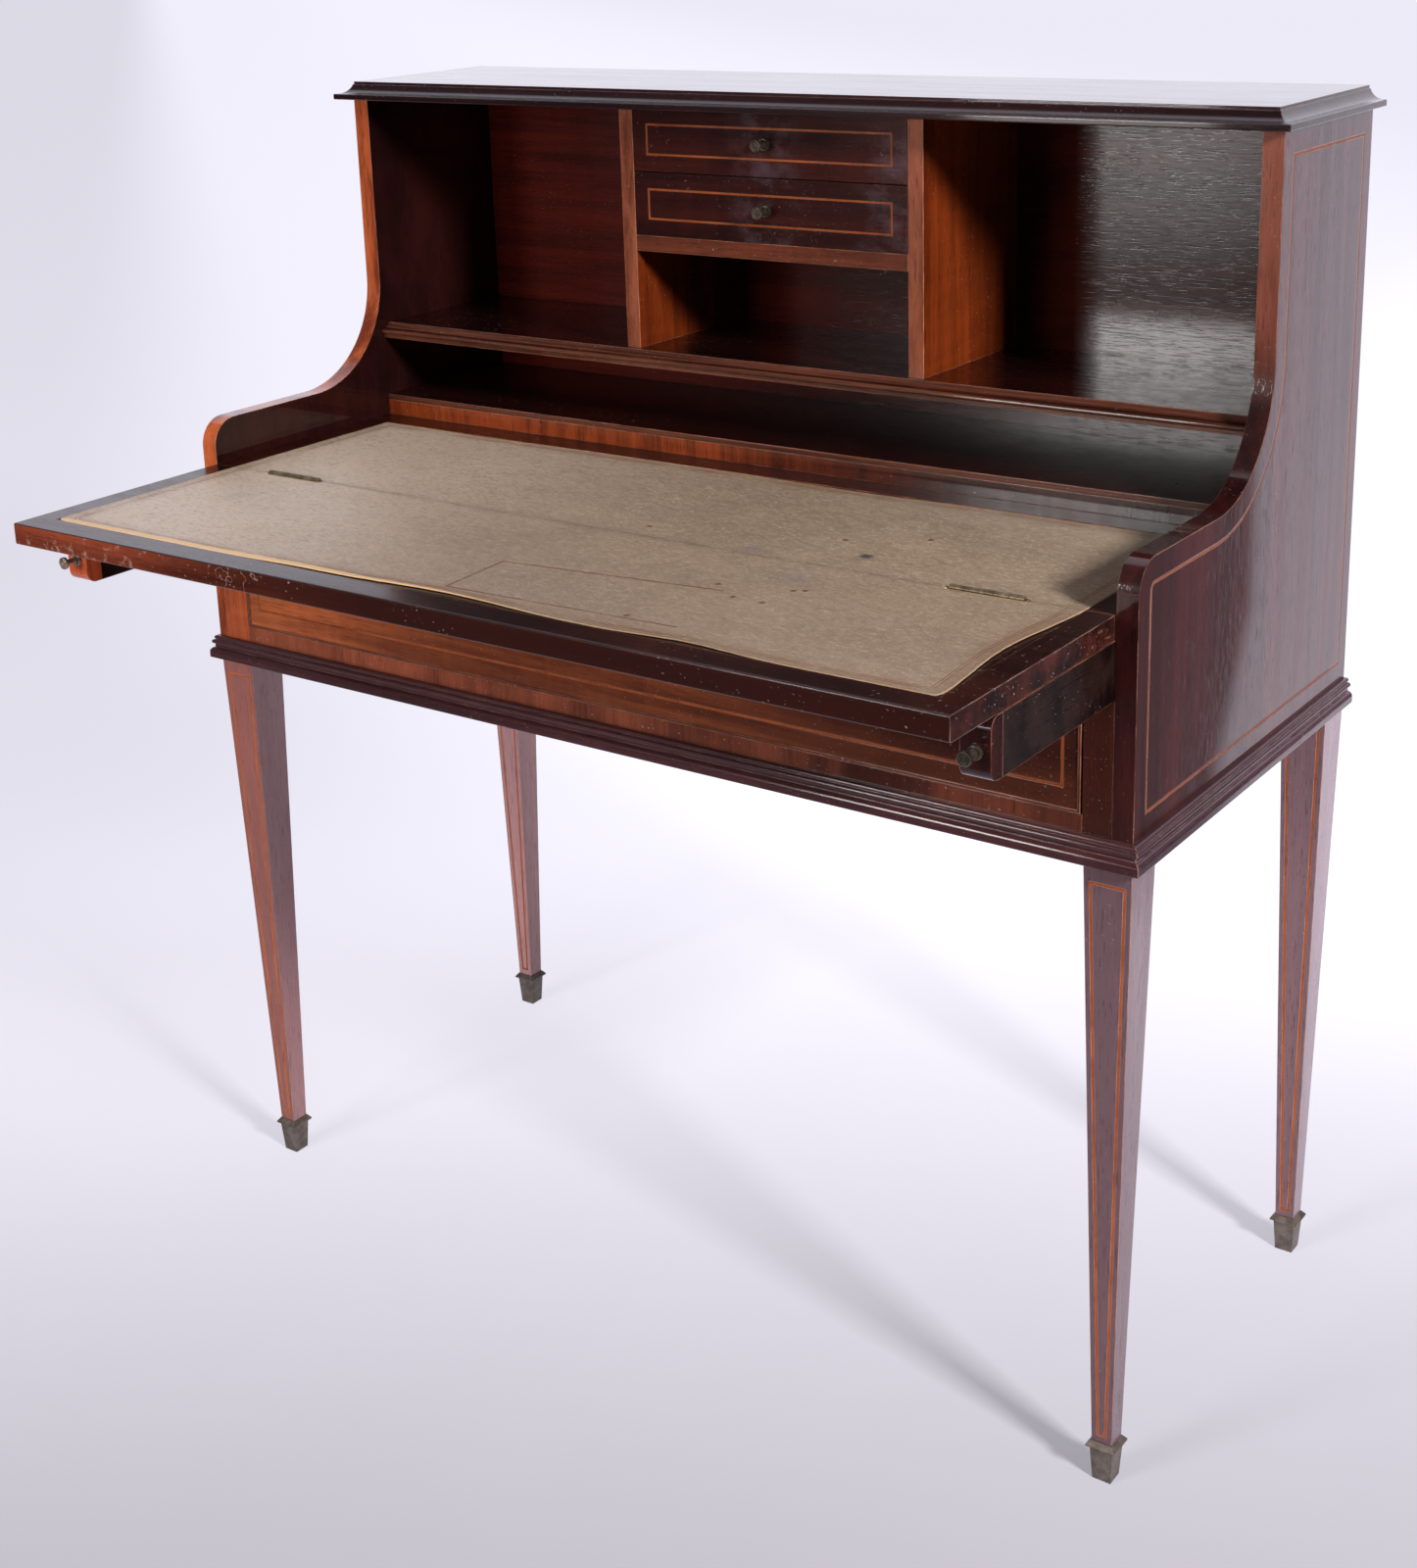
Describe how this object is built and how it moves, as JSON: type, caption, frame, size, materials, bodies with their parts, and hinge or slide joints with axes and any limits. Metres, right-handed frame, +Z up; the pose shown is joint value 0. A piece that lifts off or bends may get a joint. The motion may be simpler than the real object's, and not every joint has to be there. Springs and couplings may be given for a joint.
{
  "type": "bonheur du jour",
  "caption": "Lady's writing desk on tapering legs: pigeonholes and small drawers behind a leather-lined fold-over writing leaf on lopers, above a frieze drawer.",
  "frame": {"origin": "on the floor below the middle of the whole desk, with the writing leaf folded down", "axes": "+X to the desk's right as seen from the sitter's side, +Y to the back, +Z up"},
  "size_m": [0.987, 0.6654, 1.0791],
  "materials": {
    "mahogany": "old french polish, dark red-brown, worn lighter on the arrises",
    "carcase_wood": "stained and waxed inside timber",
    "stringing": "pale inlay under amber polish",
    "brass": "dull, patinated",
    "steel": "dulled",
    "leather": "worn, faded skiver with a tooled border"
  },
  "bodies": {
    "case": {"end_panel_left": "mahogany", "end_panel_right": "mahogany", "top_board": "mahogany", "upper_shelf": "mahogany", "lower_shelf": "mahogany", "riser_rail": "mahogany", "divider_left": "mahogany", "divider_right": "mahogany", "small_drawer_shelf": "mahogany", "rear_leaf": "mahogany", "front_stiles": "mahogany", "bottom_rail": "mahogany", "base_moulding_front": "mahogany", "base_moulding_sides": "mahogany", "front_left_leg": "mahogany", "front_right_leg": "mahogany", "rear_left_leg": "mahogany", "rear_right_leg": "mahogany", "upper_back": "carcase_wood", "lower_back": "carcase_wood", "small_drawer_runners": "carcase_wood", "dust_board": "carcase_wood", "drawer_guides": "carcase_wood", "loper_partitions": "carcase_wood", "underframe": "carcase_wood", "loper_stops": "carcase_wood", "panel_stringing": "stringing", "leg_stringing": "stringing", "sabots": "brass", "hinge_rear_plates": "brass", "hinge_pins": "steel", "hinge_rear_screws": "steel", "rear_leather": "leather"},
    "front_leaf": {"front_leaf": "mahogany", "front_leather": "leather", "hinge_front_plates": "brass", "hinge_front_screws": "steel"},
    "loper_left": {"loper_left": "carcase_wood", "loper_left_facing": "mahogany", "loper_left_knob": "brass"},
    "loper_right": {"loper_right": "carcase_wood", "loper_right_facing": "mahogany", "loper_right_knob": "brass"},
    "frieze_drawer": {"frieze_drawer_front": "mahogany", "frieze_drawer_cockbead": "mahogany", "frieze_drawer_box": "carcase_wood", "frieze_drawer_bottom": "carcase_wood", "frieze_drawer_stringing": "stringing", "frieze_drawer_knobs": "brass"},
    "upper_small_drawer": {"upper_small_drawer_front": "mahogany", "upper_small_drawer_box": "carcase_wood", "upper_small_drawer_bottom": "carcase_wood", "upper_small_drawer_stringing": "stringing", "upper_small_drawer_knob": "brass"},
    "lower_small_drawer": {"lower_small_drawer_front": "mahogany", "lower_small_drawer_box": "carcase_wood", "lower_small_drawer_bottom": "carcase_wood", "lower_small_drawer_stringing": "stringing", "lower_small_drawer_knob": "brass"}
  },
  "joints": [
    {"name": "front_leaf_fold", "type": "hinge", "parent": "case", "child": "front_leaf", "pos_m": [0, -0.09425, 0.7425], "axis": [-1, 0, 0], "range_deg": [0, 180]},
    {"name": "loper_left_slide", "type": "slide", "parent": "case", "child": "loper_left", "axis": [0, 1, 0], "range_m": [0, 0.1845]},
    {"name": "loper_right_slide", "type": "slide", "parent": "case", "child": "loper_right", "axis": [0, 1, 0], "range_m": [0, 0.1845]},
    {"name": "frieze_drawer_slide", "type": "slide", "parent": "case", "child": "frieze_drawer", "axis": [0, -1, 0], "range_m": [0, 0.26]},
    {"name": "upper_small_drawer_slide", "type": "slide", "parent": "case", "child": "upper_small_drawer", "axis": [0, -1, 0], "range_m": [0, 0.1]},
    {"name": "lower_small_drawer_slide", "type": "slide", "parent": "case", "child": "lower_small_drawer", "axis": [0, -1, 0], "range_m": [0, 0.1]}
  ]
}
